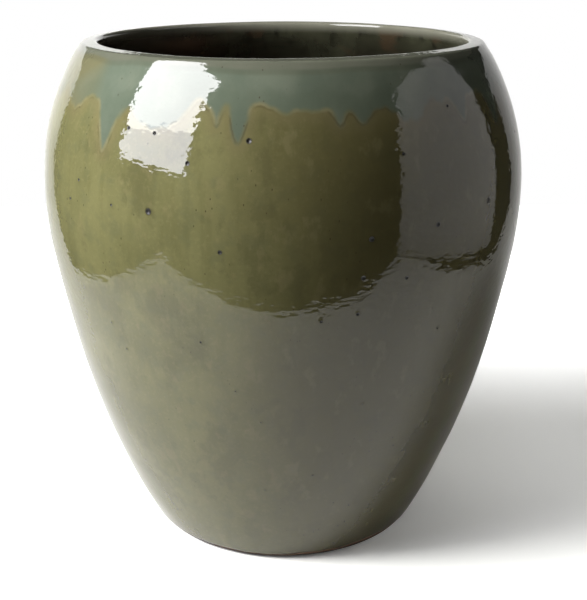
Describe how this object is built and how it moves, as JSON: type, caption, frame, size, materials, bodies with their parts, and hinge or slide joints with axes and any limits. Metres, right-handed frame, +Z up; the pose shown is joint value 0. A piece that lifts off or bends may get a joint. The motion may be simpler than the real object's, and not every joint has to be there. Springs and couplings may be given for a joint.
{
  "type": "glazed planter pot",
  "caption": "Large egg-shaped planter pot with a wide round mouth, rolled lip and narrow flat foot, glazed outside, with a plugged drain hole.",
  "frame": {"origin": "centre of the foot on the floor it stands on", "axes": "+Z up along the pot's axis of revolution; -Y is the side with the longest run of shoulder glaze a little to its left"},
  "size_m": [0.5197, 0.5198, 0.544],
  "materials": {
    "fired_clay": "matte",
    "olive_glaze": "gloss",
    "teal_glaze": "gloss",
    "inner_glaze": "gloss",
    "plug_rubber": "matte"
  },
  "bodies": {
    "pot": {"clay_body": "fired_clay", "outer_glaze": "olive_glaze", "shoulder_glaze": "teal_glaze", "inner_glaze": "inner_glaze"},
    "plug": {"drain_plug": "plug_rubber"}
  },
  "joints": [
    {"name": "plug_lift", "type": "slide", "parent": "pot", "child": "plug", "axis": [0, 0, 1], "range_m": [0, 0.56]}
  ]
}
